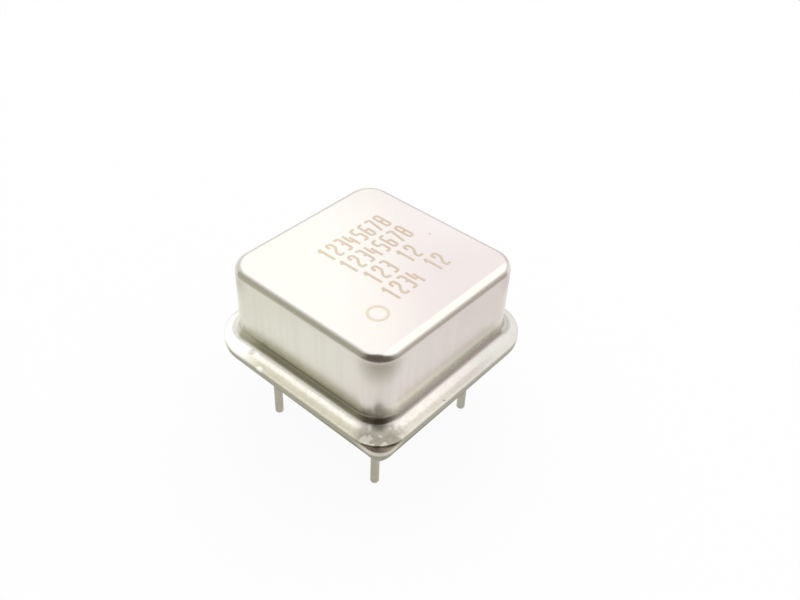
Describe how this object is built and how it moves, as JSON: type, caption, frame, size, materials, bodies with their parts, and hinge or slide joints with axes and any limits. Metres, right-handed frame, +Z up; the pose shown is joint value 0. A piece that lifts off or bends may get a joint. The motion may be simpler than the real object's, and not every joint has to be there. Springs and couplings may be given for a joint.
{
  "type": "crystal oscillator",
  "caption": "Square metal-can crystal oscillator with a welded flange, a squarer corner at lead 1 and round through-hole leads.",
  "frame": {"origin": "centre of the lead square, level with the lead tips", "axes": "+Z up through the can's top, +X from lead 1 towards lead 4, +Y from lead 1 towards lead 8"},
  "size_m": [0.013, 0.013, 0.0111],
  "materials": {
    "nickel_steel_cover": "satin nickel plate on drawn steel",
    "nickel_steel_header": "satin nickel plate on stamped steel",
    "plated_leads": "dull tinned alloy wire",
    "seal_glass": "dark fired sealing glass",
    "braze": "silver braze",
    "alumina": "matt white alumina",
    "conductor_film": "fired silver-palladium film",
    "solder": "bright solder",
    "silicon": "polished silicon",
    "silver_epoxy": "grey silver-filled epoxy",
    "gold": "gold wire",
    "titanate_ceramic": "tan fired ceramic",
    "end_plating": "tin plate",
    "quartz": "clear lapped quartz",
    "electrode_film": "evaporated gold film",
    "spring_bronze": "rolled phosphor bronze"
  },
  "bodies": {
    "root": {"cover": "nickel_steel_cover", "header": "nickel_steel_header", "lead_1_enable": "plated_leads", "lead_4_ground": "plated_leads", "lead_5_output": "plated_leads", "lead_8_supply": "plated_leads", "seal_1": "seal_glass", "seal_5": "seal_glass", "seal_8": "seal_glass", "ground_braze": "braze", "substrate": "alumina", "conductor_tracks": "conductor_film", "solder_joint_1": "solder", "solder_joint_4": "solder", "solder_joint_5": "solder", "solder_joint_8": "solder", "oscillator_die": "silicon", "die_attach": "silver_epoxy", "bond_wires": "gold", "bypass_capacitor": "titanate_ceramic", "capacitor_ends": "end_plating", "capacitor_solder": "solder", "crystal_blank": "quartz", "upper_electrode": "electrode_film", "lower_electrode": "electrode_film", "left_clip": "spring_bronze", "right_clip": "spring_bronze", "left_adhesive": "silver_epoxy", "right_adhesive": "silver_epoxy"}
  },
  "joints": []
}
